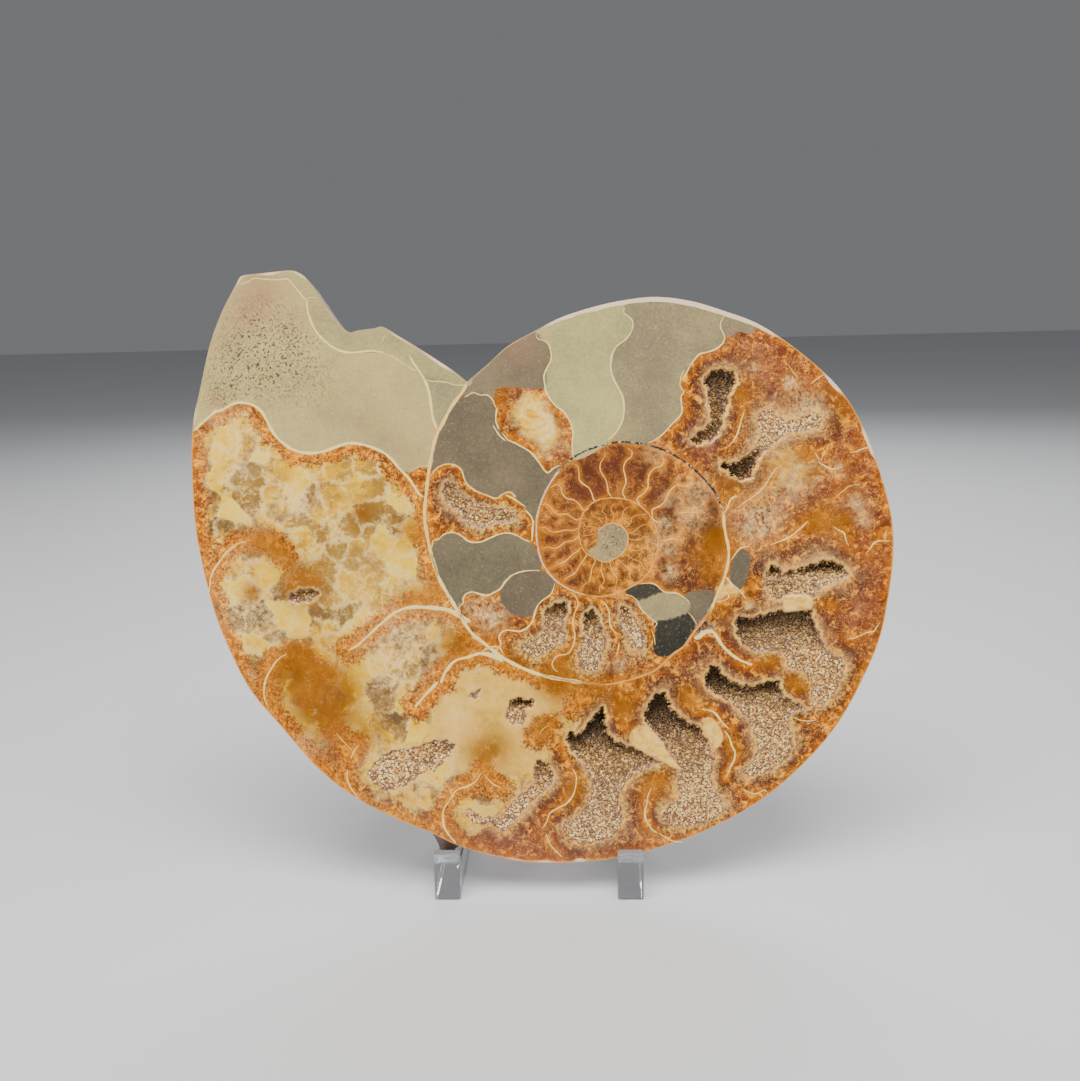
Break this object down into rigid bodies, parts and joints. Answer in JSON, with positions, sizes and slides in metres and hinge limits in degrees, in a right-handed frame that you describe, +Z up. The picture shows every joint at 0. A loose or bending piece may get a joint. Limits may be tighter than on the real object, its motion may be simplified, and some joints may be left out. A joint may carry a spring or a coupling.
{
  "type": "ammonite fossil half",
  "caption": "Sawn and polished half of a chambered ammonite with crystal-lined hollows, leaning on a clear easel stand.",
  "frame": {"origin": "middle of the bounding box's underside, on the surface that the easel's feet stand on", "axes": "+Z up, +X to the right of someone facing the sawn face, +Y to the back; the sawn face looks towards -Y and leans back 13 degrees"},
  "size_m": [0.189, 0.095, 0.1665],
  "materials": {
    "polished_fossil": "polished face, satin natural back",
    "crystal_druse": "glassy crystal faces",
    "clear_acrylic": "clear, polished"
  },
  "bodies": {
    "root": {"ammonite_half": "polished_fossil", "crystals_upper": "crystal_druse", "crystals_right_shoulder": "crystal_druse", "crystals_right": "crystal_druse", "crystals_right_pocket": "crystal_druse", "crystals_lower_right": "crystal_druse", "crystals_bottom_right": "crystal_druse", "crystals_bottom": "crystal_druse", "crystals_bottom_left": "crystal_druse", "crystals_lower_left": "crystal_druse", "crystals_inner_window": "crystal_druse", "easel_left": "clear_acrylic", "easel_right": "clear_acrylic", "easel_bar_upper": "clear_acrylic", "easel_bar_lower": "clear_acrylic"}
  },
  "joints": []
}
